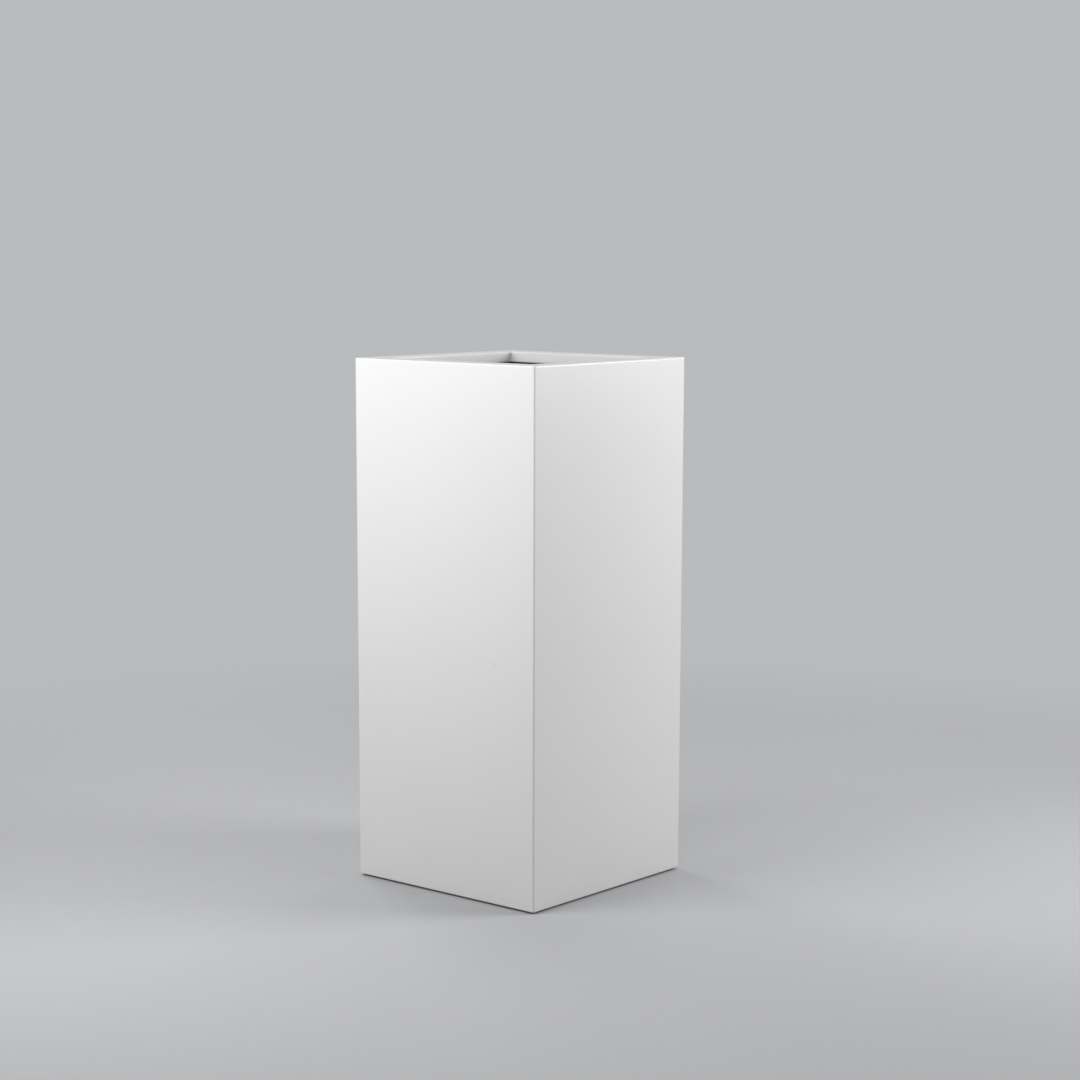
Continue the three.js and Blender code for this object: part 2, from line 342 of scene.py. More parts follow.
def facingUp(tree):
    # the upward part of the surface's own direction: 1 on top, 0 on a wall, -1 underneath
    normal = addNode(tree, "ShaderNodeTexCoord").outputs["Normal"]
    return addNode(tree, "ShaderNodeSeparateXYZ", {0: normal}).outputs["Z"]


def heightOf(tree, spot):
    return addNode(tree, "ShaderNodeSeparateXYZ", {0: spot}).outputs["Z"]


def shaded(colour, share):
    # a colour made darker or paler by a share
    return tuple(c * share for c in colour)


def patchy(tree, share, colour, low, high):
    # a colour that drifts between low and high times itself, as share goes from 0 to 1
    return mixColour(tree, share, shaded(colour, low), shaded(colour, high))


def mixColour(tree, share, first, second):
    node = addNode(tree, "ShaderNodeMix", data_type="RGBA")
    for socket, value in ((node.inputs[0], share), (node.inputs[6], first), (node.inputs[7], second)):
        if isinstance(value, bpy.types.NodeSocket):
            tree.links.new(value, socket)
        else:
            socket.default_value = value if isinstance(value, (int, float)) else (*value, 1.0)
    return node.outputs[2]


def bump(tree, height, distance, strength=1.0, over=None):
    values = {"Height": height, "Distance": distance, "Strength": strength}
    if over is not None:
        values["Normal"] = over
    return addNode(tree, "ShaderNodeBump", values).outputs["Normal"]


def connect(tree, shader, colour=None, roughness=None, normal=None):
    for name, value in (("Base Color", colour), ("Roughness", roughness), ("Normal", normal)):
        if value is not None:
            tree.links.new(value, shader.inputs[name])


# The glass-fibre shell: four leaning walls, a flat rim turned inward, and the return that hangs from it
low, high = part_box("shell")
shell = {
    "height": high.z,
    "bottom": low.z,
    "topHalf": high.x,
    "draft": 0.002,  # how far each side leans in, from the rim down to the floor
    "wall": 0.0045,
    "cornerRadius": 0.003,
    "edgeRadius": 0.002,
    "rimWidth": 0.044,
    "rimThickness": 0.005,
    "returnDepth": 0.019,
    "returnThickness": 0.004,
    "openingCorner": 0.004,
    "innerCorner": 0.001,
    "innerFillet": 0.002,
    "floorFillet": 0.0008,
    "recessEdge": 0.0015,
    "borderWidth": 0.034,
    "recessTop": 0.0083,
    "recessTaper": 0.002,
    "floorTop": 0.0133,
    "holeEase": 0.0006,
    "waviness": 0.00010,  # how far the hand-laid walls stray from flat
    "calmSide": 0.05,  # the waves die out over this width beside a corner
    "calmEnd": 0.08,  # and over this height below the rim and above the floor
    "calmFloor": 0.02,
    "hold": 0.0012,
    "rowStep": 0.016,
    "sideSteps": 28,
    "white": (0.850, 0.853, 0.858),
    "flowCoat": (0.032, 0.034, 0.038),
}
cornerWords = ("front_left", "front_right", "back_right", "back_left")
drainRadius = 0.0125  # of the four drain holes
pilotRadius = 0.0025  # of the four screw holes


def outerHalf(z):
    return shell["topHalf"] - shell["draft"] * (1 - z / shell["height"])


def innerHalf(z):
    return outerHalf(z) - shell["wall"]


def middleOf(node):
    low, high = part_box(node)
    return (low + high) / 2


def floorHoles(pilotEnd):
    # the drain holes, and the screw holes up to pilotEnd, as (x, y, radius, end)
    holes = []
    for word in cornerWords:
        plug = middleOf("drain_plug_" + word)
        foot = middleOf("foot_" + word)
        holes.append((plug.x, plug.y, drainRadius, None))
        holes.append((foot.x, foot.y, pilotRadius, pilotEnd))
    return holes


def shellRows():
    # the outline from the recess under the floor, up the outside, over the rim and down the inside, as
    # rows of (half width, corner radius, height, inside); inside is 0 on gel-coat and 1 on flow-coat
    s = shell
    recess = outerHalf(s["bottom"]) - s["borderWidth"]
    opening = s["topHalf"] - s["rimWidth"]
    rimUnder = s["height"] - s["rimThickness"]
    returnBottom = s["height"] - s["returnDepth"]
    lip = s["returnThickness"] / 2 * 0.99
    flat = 0.004  # of each floor face that belongs to the outline
    outside, rim, within = 0, 1, 2
    corners = [
        (recess - s["recessTaper"] - flat, s["recessTop"], 0, outside, 0),
        (recess - s["recessTaper"], s["recessTop"], s["recessEdge"], outside, 0),
        (recess, s["bottom"], s["recessEdge"], outside, 0),
        (outerHalf(s["bottom"]), s["bottom"], s["edgeRadius"], outside, 0),
        (s["topHalf"], s["height"], s["edgeRadius"], outside, 0),
        (opening, s["height"], s["edgeRadius"], rim, 0),
        (opening, returnBottom, lip, rim, 0),
        (opening + s["returnThickness"], returnBottom, lip, rim, 1),
        (opening + s["returnThickness"], rimUnder, s["innerFillet"], rim, 1),
        (innerHalf(rimUnder), rimUnder, s["innerFillet"], within, 1),
        (innerHalf(s["floorTop"]), s["floorTop"], s["floorFillet"], within, 1),
        (innerHalf(s["floorTop"]) - flat, s["floorTop"], 0, within, 1),
    ]
    half, z, zone, inside = fillet(corners).T
    onOutside = s["cornerRadius"] + np.minimum(half - outerHalf(z), 0)
    onOutside = np.where(half < recess + s["edgeRadius"], s["cornerRadius"], onOutside)
    corner = np.choose(zone.astype(int), [onOutside, s["openingCorner"] + half - opening, s["innerCorner"]])
    return refine(np.stack([half, corner, z, inside], 1), s["hold"], s["rowStep"])


def handLaid(rings, path):
    # slow waves over the walls, for each side k: two products of sines of (along, z, k), scaled by the
    # waviness and dying out towards every edge
    s = shell
    out = path[1][None]
    side = np.floor(np.arctan2(out[..., 1], out[..., 0]) / (math.pi / 2) + 0.5)
    along = rings[..., 1] * out[..., 0] - rings[..., 0] * out[..., 1]
    z = rings[..., 2]
    fade = np.clip((s["topHalf"] - np.abs(along)) / s["calmSide"], 0, 1)
    fade = fade * np.clip((s["height"] - z) / s["calmEnd"], 0, 1)
    fade = fade * np.clip((z - s["calmFloor"]) / s["calmEnd"], 0, 1)
    fade = fade * fade * (np.abs(out).max(axis=2) > 0.999)
    wave = np.sin(22 * along + 9 * z + 2 * side) * np.sin(13 * z + 1 + side)
    wave += 0.5 * np.sin(41 * along - 17 * z + side) * np.sin(29 * z + 3 * side)
    rings[..., :2] -= (s["waviness"] * wave * fade)[..., None] * out
    return rings


def makeShell():
    s = shell
    path = squarePath(s["sideSteps"], 10)
    rings = handLaid(squareRings(shellRows(), path), path)
    heights = s["recessTop"], s["floorTop"]
    walls, lowHoles, highHoles = drilledHoles(floorHoles(None), *heights, s["holeEase"], (0, 1))
    floor = [flatFill(rings[0], lowHoles, False, 0.0), flatFill(rings[-1], highHoles, True, 1.0)]
    return makePiece("planter_shell", [grid(rings), *walls, *floor], mark="inside")


def wallPlane(tree):
    # (across, up) in the plane of whichever wall or floor a point is on, told by the way that it faces
    coordinates = addNode(tree, "ShaderNodeTexCoord").outputs
    spot = addNode(tree, "ShaderNodeSeparateXYZ", {0: coordinates["Object"]}).outputs
    facing = addNode(tree, "ShaderNodeVectorMath", {0: coordinates["Normal"]}, operation="ABSOLUTE")
    facing = addNode(tree, "ShaderNodeSeparateXYZ", {0: facing.outputs[0]}).outputs
    facesX = calc(tree, "GREATER_THAN", facing["X"], 0.7)
    facesUp = calc(tree, "GREATER_THAN", facing["Z"], 0.7)
    across = addNode(tree, "ShaderNodeMix", {0: facesX, 2: spot["X"], 3: spot["Y"]}).outputs[0]
    up = addNode(tree, "ShaderNodeMix", {0: facesUp, 2: spot["Z"], 3: spot["Y"]}).outputs[0]
    return addNode(tree, "ShaderNodeCombineXYZ", {0: across, 1: up, 2: facesX}).outputs[0]


def strands(tree, plane, angles, fine, long):
    # chopped glass strands crossing at several angles: for each one, lines where noise that is drawn out
    # along that angle passes its middle value
    total = None
    for angle in angles:
        values = {"Vector": plane, "Rotation": (0.0, 0.0, angle), "Scale": (1 / long, 1 / fine, 1.0)}
        drawn = addNode(tree, "ShaderNodeMapping", values, vector_type="TEXTURE").outputs["Vector"]
        away = calc(tree, "ABSOLUTE", calc(tree, "SUBTRACT", noise(tree, drawn, 1.0, 1.0), 0.5))
        line = remap(tree, away, 0.0, 0.07, 1.0, 0.0, smooth=True)
        total = line if total is None else calc(tree, "MAXIMUM", total, line)
    return total


def gelCoat():
    # polished white gel-coat outside; dark brushed flow-coat over the glass strands inside
    s = shell
    coat = {"Coat Weight": 0.3, "Coat Roughness": 0.1, "Coat IOR": 1.5}
    material, tree, shader = newMaterial("whiteGelCoat", **{"IOR": 1.5, "Specular IOR Level": 0.5}, **coat)
    spot = objectSpace(tree)
    height = heightOf(tree, spot)
    inside = addNode(tree, "ShaderNodeAttribute", attribute_name="inside").outputs["Fac"]
    ragged = calc(tree, "ADD", inside, remap(tree, noise(tree, spot, 90.0), 0.0, 1.0, -0.3, 0.3))
    mask = remap(tree, ragged, 0.42, 0.58, smooth=True)

    white = s["white"]
    cloud = noise(tree, spot, 3.2, 2.0)
    colour = patchy(tree, cloud, white, 0.985, 1.015)
    scuffHeight = remap(tree, height, s["bottom"], s["bottom"] + 0.016, 1.0, 0.0, smooth=True)
    scuff = calc(tree, "MULTIPLY", scuffHeight, remap(tree, noise(tree, spot, 30.0, 4.0, 0.6), 0.45, 0.8))
    colour = mixColour(tree, calc(tree, "MULTIPLY", scuff, 0.22), colour, (0.55, 0.53, 0.50))

    patch = noise(tree, spot, 7.0, 3.0)
    flow = s["flowCoat"]
    dark = patchy(tree, patch, flow, 0.7, 1.4)
    plane = wallPlane(tree)
    strand = strands(tree, plane, (0.15, 0.8, 1.45, 2.1, 2.7), 300.0, 24.0)
    dark = mixColour(tree, calc(tree, "MULTIPLY", strand, 0.35), dark, shaded(flow, 1.9))
    brushed = noise(tree, spot, 60.0, 4.0, 0.6)

    polish = remap(tree, noise(tree, spot, 11.0, 2.0), 0.0, 1.0, 0.25, 0.36)
    polish = calc(tree, "ADD", polish, calc(tree, "MULTIPLY", scuff, 0.2))
    coarse = remap(tree, brushed, 0.0, 1.0, 0.36, 0.62)
    roughness = addNode(tree, "ShaderNodeMix", {0: mask, 2: polish, 3: coarse}).outputs[0]

    peel = bump(tree, noise(tree, spot, 150.0, 2.0), 0.00005, 0.35)
    ghost = bump(tree, strand, 0.00002, 0.15, peel)
    relief = calc(tree, "ADD", calc(tree, "MULTIPLY", strand, 0.6), brushed)
    laminate = bump(tree, calc(tree, "MULTIPLY", mask, relief), 0.0006, 0.7, ghost)
    connect(tree, shader, mixColour(tree, mask, colour, dark), roughness, laminate)
    return material


shellPiece = makeShell()
place(shellPiece, "planter", "shell", "gelcoat", gelCoat())
print("shell made:", len(shellPiece.data.polygons), "faces")

# The plywood base board, bonded to the floor of the shell, with blind holes for the feet's screws
low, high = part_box("base_board")
baseBoard = {
    "bottom": low.z,
    "top": high.z,
    "wallGap": 0.0003,
    "cornerRadius": 0.002,
    "ease": 0.0008,
    "pilotTop": 0.0229,
    "plies": 9,
    "face": (0.36, 0.225, 0.105),
    "darkPly": (0.19, 0.105, 0.045),
}


def makeBaseBoard():
    b = baseBoard
    lowHalf = innerHalf(b["bottom"]) - b["wallGap"]
    highHalf = innerHalf(b["top"]) - b["wallGap"]
    flat = 0.004
    corners = [
        (lowHalf - flat, b["bottom"], 0),
        (lowHalf, b["bottom"], b["ease"]),
        (highHalf, b["top"], b["ease"]),
        (highHalf - flat, b["top"], 0),
    ]
    half, z = fillet(corners, 4).T
    rows = np.stack([half, b["cornerRadius"] + np.minimum(half - lowHalf, 0) * 0.25, z], 1)
    rings = squareRings(refine(rows, b["ease"], 0.004), squarePath(20))
    holes = floorHoles(b["pilotTop"])
    walls, lowHoles, highHoles = drilledHoles(holes, b["bottom"], b["top"], b["ease"])
    faces = [flatFill(rings[0], lowHoles, False), flatFill(rings[-1], highHoles, True)]
    return makePiece("plywood_base_board", [grid(rings), *walls, *faces])


def growthRings(tree, scale, shift, rings, warp):
    # wood figure: sine of the distance from a far-off pith, pushed about by noise drawn out along the grain
    spot = objectSpace(tree, scale, shift=shift)
    distance = addNode(tree, "ShaderNodeVectorMath", {0: spot}, operation="LENGTH").outputs["Value"]
    push = calc(tree, "MULTIPLY", noise(tree, spot, 9.0, 3.0, 0.55), warp)
    wave = calc(tree, "SINE", calc(tree, "ADD", calc(tree, "MULTIPLY", distance, rings), push))
    return remap(tree, wave, -1.0, 1.0)


def sealedPlywood():
    # birch-faced board under a thin coat of resin: figure along X on the faces, plies on the edges
    b = baseBoard
    gloss = {"IOR": 1.5, "Specular IOR Level": 0.45, "Coat Weight": 0.25, "Coat Roughness": 0.2}
    material, tree, shader = newMaterial("sealedPlywood", **gloss)
    spot = objectSpace(tree)
    face = b["face"]
    figure = growthRings(tree, (0.1, 1.0, 1.0), (0.0, 0.07, 0.9), 620.0, 26.0)
    fibre = noise(tree, objectSpace(tree, (9.0, 420.0, 420.0)), 1.0, 2.0)
    pores = noise(tree, objectSpace(tree, (70.0, 2600.0, 2600.0)), 1.0, 1.0)
    colour = patchy(tree, figure, face, 0.82, 1.12)
    colour = mixColour(tree, remap(tree, fibre, 0.35, 0.75, 0.0, 0.55), colour, b["darkPly"])
    colour = mixColour(tree, remap(tree, pores, 0.55, 0.75, 0.0, 0.5), colour, b["darkPly"])
    fromBottom = calc(tree, "SUBTRACT", heightOf(tree, spot), b["bottom"])
    ply = calc(tree, "MULTIPLY", fromBottom, b["plies"] / (b["top"] - b["bottom"]))
    band = remap(tree, calc(tree, "PINGPONG", ply, 1.0), 0.35, 0.65)
    edge = mixColour(tree, band, b["darkPly"], shaded(face, 1.05))
    edge = mixColour(tree, remap(tree, fibre, 0.4, 0.8, 0.0, 0.4), edge, shaded(b["darkPly"], 0.5))
    onFace = remap(tree, calc(tree, "ABSOLUTE", facingUp(tree)), 0.6, 0.8)
    colour = mixColour(tree, onFace, edge, colour)
    damp = remap(tree, noise(tree, spot, 8.0, 3.0), 0.45, 0.75, 0.0, 0.35)
    colour = mixColour(tree, damp, colour, (0.05, 0.035, 0.02))
    roughness = remap(tree, noise(tree, spot, 24.0, 3.0), 0.0, 1.0, 0.3, 0.62)
    grain = bump(tree, calc(tree, "ADD", fibre, calc(tree, "MULTIPLY", pores, 0.4)), 0.0005, 0.5)
    runs = bump(tree, noise(tree, spot, 30.0, 2.0), 0.0008, 0.35, grain)
    connect(tree, shader, colour, roughness, runs)
    return material


place(makeBaseBoard(), "planter", "base_board", "plywood", sealedPlywood())
print("base board made")

# Four round rubber feet with a grooved sole, each held by a countersunk screw
low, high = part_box("foot_front_left")
foot = {
    "radius": (high.x - low.x) / 2,
    "top": high.z,
    "soleEdge": 0.0015,
    "topEdge": 0.0008,
    "headHole": 0.0048,
    "headHoleTop": 0.0025,
    "coneTop": 0.0051,
    "groove": 0.0007,  # half width
    "grooveDepth": 0.0009,
    "grooveRadii": (0.0085, 0.0120, 0.0155),
    "colour": (0.020, 0.020, 0.021),
    "sides": 72,
}


def makeFoot(word):
    f = foot
    centre = middleOf("foot_" + word)
    corners = [
        (pilotRadius, f["top"], 0.0003),
        (pilotRadius, f["coneTop"], 0.0003),
        (f["headHole"], f["headHoleTop"], 0.0003),
        (f["headHole"], 0.0, 0.0005),
    ]
    for radius in f["grooveRadii"]:
        corners += [
            (radius - f["groove"], 0.0, 0.0002),
            (radius - f["groove"] * 0.5, f["grooveDepth"], 0.0002),
            (radius + f["groove"] * 0.5, f["grooveDepth"], 0.0002),
            (radius + f["groove"], 0.0, 0.0002),
        ]
    corners += [(f["radius"], 0.0, f["soleEdge"]), (f["radius"], f["top"], f["topEdge"])]
    rows = refine(fillet(corners, 4, closed=True), 0.0003, 0.004, closed=True)
    rings = turned(rows, f["sides"], (centre.x, centre.y))
    return makePiece("rubber_foot_" + word, [grid(rings, closed=True)])


def rubber(name, colour, dust):
    # moulded black rubber: fine pitted skin, a dull bloom, and dust that lies on what faces up
    material, tree, shader = newMaterial(name, **{"IOR": 1.52, "Specular IOR Level": 0.4})
    spot = objectSpace(tree)
    cloud = noise(tree, spot, 60.0, 4.0, 0.6)
    tone = patchy(tree, cloud, colour, 0.75, 1.5)
    bloom = remap(tree, noise(tree, spot, 140.0, 3.0), 0.5, 0.8, 0.0, 0.35)
    tone = mixColour(tree, bloom, tone, shaded(colour, 3.2))
    level = remap(tree, facingUp(tree), 0.5, 1.0)
    lying = calc(tree, "MULTIPLY", level, remap(tree, cloud, 0.3, 0.8, 0.2, 1.0))
    tone = mixColour(tree, calc(tree, "MULTIPLY", lying, dust), tone, (0.16, 0.145, 0.12))
    roughness = remap(tree, cloud, 0.0, 1.0, 0.52, 0.86)
    skin = bump(tree, noise(tree, spot, 900.0, 2.0), 0.00006, 0.6)
    ripple = bump(tree, noise(tree, spot, 220.0, 3.0), 0.00015, 0.4, skin)
    connect(tree, shader, tone, roughness, ripple)
    return material


footRubber = rubber("footRubber", foot["colour"], 0.15)
for word in cornerWords:
    place(makeFoot(word), "planter", "foot_" + word, "rubber", footRubber)
print("feet made")

# The feet's screws, heads down in the feet and threads up in the base board
low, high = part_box("foot_screw_front_left")
screw = {
    "headRadius": (high.x - low.x) / 2,
    "bottom": low.z,
    "top": high.z,
    "headHeight": 0.0026,
    "shank": 0.0016,
    "shoulder": 0.0004,  # how much thicker the plain part is than the core of the thread
    "thread": 0.0022,
    "threadFrom": 0.0075,
    "pitch": 0.0018,
    "tip": 0.003,
    "slotLength": 0.0046,
    "slotWidth": 0.0011,
    "slotDepth": 0.0014,
    "slotTaper": 0.7,  # the slot's size at its end, against its size at the head's face
    "sides": 36,
    "zinc": (0.62, 0.625, 0.64),
}


def makeScrew(word):
    s = screw
    centre = middleOf("foot_screw_" + word)
    edge = 0.0003  # radius of the head's rim
    corners = [
        (s["headRadius"] - 3 * edge, s["bottom"], 0),
        (s["headRadius"], s["bottom"], edge),
        (s["headRadius"], s["bottom"] + edge, edge / 3),
        (s["shank"] + s["shoulder"], s["bottom"] + s["headHeight"], 0.0008),
        (s["shank"] + s["shoulder"], s["threadFrom"], 0),
    ]
    head = turned(refine(fillet(corners, 3), 0.0002, 0.001), s["sides"], (centre.x, centre.y))
    # thread: radius = core + depth * tooth(z / pitch - turn), where the tooth is a ridge once each pitch
    z = np.arange(s["threadFrom"] + s["pitch"] / 10, s["top"] - 0.0002, s["pitch"] / 10)[:, None]
    share = np.arange(s["sides"])[None, :] / s["sides"]
    taper = np.clip((s["top"] - z) / s["tip"], 0.08, 1)
    start = np.clip((z - s["threadFrom"]) / s["pitch"], 0, 1)
    saw = np.abs((z / s["pitch"] - share) % 1.0 - 0.5)
    tooth = np.clip(1 - saw * 4.5, 0, 1)
    radius = s["shank"] * taper + (s["thread"] - s["shank"]) * tooth * start * np.sqrt(taper)
    radius += (1 - start) * s["shoulder"]
    angle = 2 * math.pi * share
    columns = [centre.x + radius * np.cos(angle), centre.y + radius * np.sin(angle)]
    thread = np.stack([*columns, np.broadcast_to(z, radius.shape)], axis=2)
    rings = np.concatenate([head, thread])
    cross = crossOutline(s["slotLength"] / 2, s["slotWidth"] / 2)
    ends = ((1.0, s["bottom"]), (s["slotTaper"], s["bottom"] + s["slotDepth"]))
    slot = np.stack([np.hstack([cross * size, np.full((len(cross), 1), z)]) for size, z in ends])
    slot += np.array([centre.x, centre.y, 0.0])
    flat = [
        flatFill(rings[0], [slot[0]], False),
        grid(slot, inward=True),
        flatFill(slot[1], [], False),
    ]
    return makePiece("steel_foot_screw_" + word, [grid(rings), fan(rings[-1], up=True, lift=0.0002)], flat)


def crossOutline(reach, half):
    # a plain cross, anticlockwise, with its outer corners slightly rounded
    arm = np.array([(reach, -half), (reach, half), (half, half)])
    points = fourTurns(arm)
    return fillet(np.hstack([points, np.full((len(points), 1), half * 0.35)]), 2, closed=True)


def zincSteel():
    material, tree, shader = newMaterial("zincSteel", **{"Metallic": 1.0, "IOR": 2.5})
    spot = objectSpace(tree)
    zinc = screw["zinc"]
    cloud = noise(tree, spot, 300.0, 3.0, 0.6)
    tone = patchy(tree, cloud, zinc, 0.8, 1.12)
    stain = remap(tree, noise(tree, spot, 700.0, 4.0, 0.65), 0.62, 0.8, 0.0, 0.6)
    tone = mixColour(tree, stain, tone, (0.25, 0.20, 0.15))
    roughness = remap(tree, cloud, 0.0, 1.0, 0.22, 0.5)
    drawn = noise(tree, objectSpace(tree, (600.0, 600.0, 5000.0)), 1.0, 2.0)
    connect(tree, shader, tone, roughness, bump(tree, drawn, 0.00003, 0.5))
    return material


screwFinish = zincSteel()
for word in cornerWords:
    place(makeScrew(word), "planter", "foot_screw_" + word, "screw_steel", screwFinish)
print("foot screws made")

# Four rubber drain plugs: a ribbed stem in the hole, a flange on the board, and a fluted knob to pull
low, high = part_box("drain_plug_front_left")
plug = {
    "bottom": low.z,
    "top": high.z,
    "flangeRadius": (high.x - low.x) / 2,
    "flangeBottom": baseBoard["top"] + 0.0003,
    "flangeThickness": 0.0035,
    "stem": 0.0110,
    "rib": 0.0122,
    "ribPlaces": (0.35, 0.70),  # along the stem, from its lower end
    "ribHalf": 0.0016,
    "stemBevel": 0.0012,
    "neck": 0.0045,
    "knob": 0.0060,
    "flutes": 14,
    "fluteDepth": 0.0004,
    "dimple": 0.0035,  # radius of the hollow in the top of the knob
    "dimpleDepth": 0.0006,
    "colour": (0.024, 0.024, 0.026),
    "sides": 112,
}


def makePlug(word):
    p = plug
    centre = middleOf("drain_plug_" + word)
    flangeTop = p["flangeBottom"] + p["flangeThickness"]
    knobFrom = (flangeTop + p["top"]) / 2
    soft = 0.0004  # radius of the moulding's plain edges
    corners = [(0.001, p["bottom"], 0), (p["stem"] - p["stemBevel"], p["bottom"], soft)]
    corners.append((p["stem"], p["bottom"] + p["stemBevel"], soft))
    for share in p["ribPlaces"]:
        middle = p["bottom"] + (p["flangeBottom"] - p["bottom"]) * share
        corners += [
            (p["stem"], middle - p["ribHalf"], soft),
            (p["rib"], middle, 0.0003),
            (p["stem"], middle + p["ribHalf"], soft),
        ]
    corners += [
        (p["stem"], p["flangeBottom"], soft),
        (p["flangeRadius"], p["flangeBottom"], 0.0003),
        (p["flangeRadius"], flangeTop, 0.0010),
        (p["neck"], flangeTop, 0.0008),
        (p["neck"], knobFrom, 0.0006),
        (p["knob"], knobFrom + 0.0008, 0.0006),
        (p["knob"], p["top"], 0.0012),
        (p["dimple"], p["top"], 0.0002),
        (p["dimple"] - 0.0005, p["top"] - p["dimpleDepth"], 0.0002),
        (0.0005, p["top"] - p["dimpleDepth"], 0),
    ]
    rings = turned(refine(fillet(corners, 4), 0.0004, 0.003), p["sides"])
    # flutes: the radius dips by depth * (1 - cos(flutes * angle)) / 2 on the sides of the knob
    reach = np.linalg.norm(rings[..., :2], axis=2)
    angle = np.arctan2(rings[..., 1], rings[..., 0])
    onKnob = np.clip((rings[..., 2] - knobFrom) / 0.001, 0, 1) * np.clip((reach - 0.0042) / 0.001, 0, 1)
    dip = p["fluteDepth"] * (1 - np.cos(p["flutes"] * angle)) / 2 * onKnob
    rings[..., :2] *= (1 - dip / reach)[..., None]
    rings[..., :2] += (centre.x, centre.y)
    parts = [grid(rings), fan(rings[0], up=False), fan(rings[-1], up=True)]
    return makePiece("rubber_drain_plug_" + word, parts)


plugRubber = rubber("plugRubber", plug["colour"], 0.3)
for word in cornerWords:
    place(makePlug(word), "drain_plug_" + word, "drain_plug_" + word, "plug_rubber", plugRubber)
print("drain plugs made")

# Mitred timber battens: the ledges that carry the shelf, and the stiffeners bonded under the rim
timber = {
    "mitreGap": 0.0003 / math.sqrt(2),
    "tipCut": 0.004,
    "edgeRadius": 0.0015,
    "steps": 30,
    "pale": (0.56, 0.375, 0.195),
    "dark": (0.36, 0.205, 0.088),
    "resin": (0.13, 0.075, 0.030),
}
sides = dict(zip(("front", "right", "back", "left"), quarterTurns))


def makeBatten(name, kind, word):
    # a rounded section carried along X between two mitres, turned to its side. A point of the section at y
    # runs from -end(y) to end(y), where end(y) = -y - gap on the mitre, or less where the tip is cut off.
    t = timber
    low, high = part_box(kind + "_front")
    outer = -low.y
    edge = t["edgeRadius"]
    tip = t["tipCut"] / 2
    bend = tip - outer
    corners = [(low.y, low.z, edge), (bend, low.z, 0), (high.y, low.z, edge)]
    corners += [(high.y, high.z, edge), (bend, high.z, 0), (low.y, high.z, edge)]
    section = refine(fillet(corners, 4, closed=True), 0.0008, 0.006, closed=True)[:, :2]
    slope = (t["tipCut"] - tip - t["mitreGap"]) / tip
    cosine, sine = sides[word]

    def turnedPoints(share, y, z):
        x = share * np.minimum(-y - t["mitreGap"], outer - t["tipCut"] + (y + outer) * slope)
        y, z = np.broadcast_to(y, x.shape), np.broadcast_to(z, x.shape)
        return np.stack([x * cosine - y * sine, x * sine + y * cosine, z], axis=-1)

    hold = 0.004
    share = np.concatenate([[-1], np.linspace(-1 + hold, 1 - hold, t["steps"]), [1]])[:, None]
    caps = []
    for part in (section[section[:, 0] < bend + weldStep], section[section[:, 0] > bend - weldStep]):
        for way in (-1.0, 1.0):
            flat, faces = flatFill(np.hstack([part, np.zeros((len(part), 1))]), [], up=way > 0)
            caps.append((turnedPoints(way, flat[:, 0], flat[:, 1]), faces))
    return makePiece(name + "_" + word, [grid(turnedPoints(share, *section.T))], caps)


def battenTimber(name, alongX):
    # planed pine with its grain along the batten, soaked with resin where it meets the wall
    t = timber
    material, tree, shader = newMaterial(name, **{"IOR": 1.48, "Specular IOR Level": 0.35})
    spot = objectSpace(tree)
    stretch = (0.07, 1.0, 1.0) if alongX else (1.0, 0.07, 1.0)
    figure = growthRings(tree, stretch, (0.03, 0.04, -0.35), 1500.0, 22.0)
    late = remap(tree, figure, 0.55, 1.0, smooth=True)
    fine = (14.0, 700.0, 700.0) if alongX else (700.0, 14.0, 700.0)
    fibre = noise(tree, objectSpace(tree, fine), 1.0, 2.0)
    colour = mixColour(tree, calc(tree, "MULTIPLY", late, 0.75), t["pale"], t["dark"])
    colour = mixColour(tree, remap(tree, fibre, 0.4, 0.8, 0.0, 0.35), colour, shaded(t["dark"], 0.6))
    knot = addNode(tree, "ShaderNodeTexVoronoi", {"Vector": objectSpace(tree, (5, 5, 9)), "Scale": 1.0})
    knotCore = remap(tree, knot.outputs["Distance"], 0.05, 0.10, 1.0, 0.0, smooth=True)
    colour = mixColour(tree, knotCore, colour, shaded(t["dark"], 0.35))
    parts = addNode(tree, "ShaderNodeSeparateXYZ", {0: spot})
    reach = calc(tree, "ABSOLUTE", parts.outputs["Y" if alongX else "X"])
    ragged = calc(tree, "ADD", reach, remap(tree, noise(tree, spot, 45.0, 3.0), 0.0, 1.0, -0.004, 0.004))
    soaked = remap(tree, ragged, 0.185, 0.191, smooth=True)
    colour = mixColour(tree, calc(tree, "MULTIPLY", soaked, 0.85), colour, t["resin"])
    dry = remap(tree, fibre, 0.0, 1.0, 0.62, 0.86)
    roughness = addNode(tree, "ShaderNodeMix", {0: soaked, 2: dry, 3: 0.3}).outputs[0]
    grain = bump(tree, fibre, 0.0004, 0.6)
    connect(tree, shader, colour, roughness, bump(tree, late, 0.0003, 0.5, grain))
    return material


alongX = battenTimber("battenTimberAlongX", True)
alongY = battenTimber("battenTimberAlongY", False)
for kind, name in (("shelf_ledge", "timber_shelf_ledge"), ("rim_batten", "timber_rim_batten")):
    for word in sides:
        grainWay = alongX if word in ("front", "back") else alongY
        place(makeBatten(name, kind, word), "planter", f"{kind}_{word}", "timber", grainWay)
print("battens made")

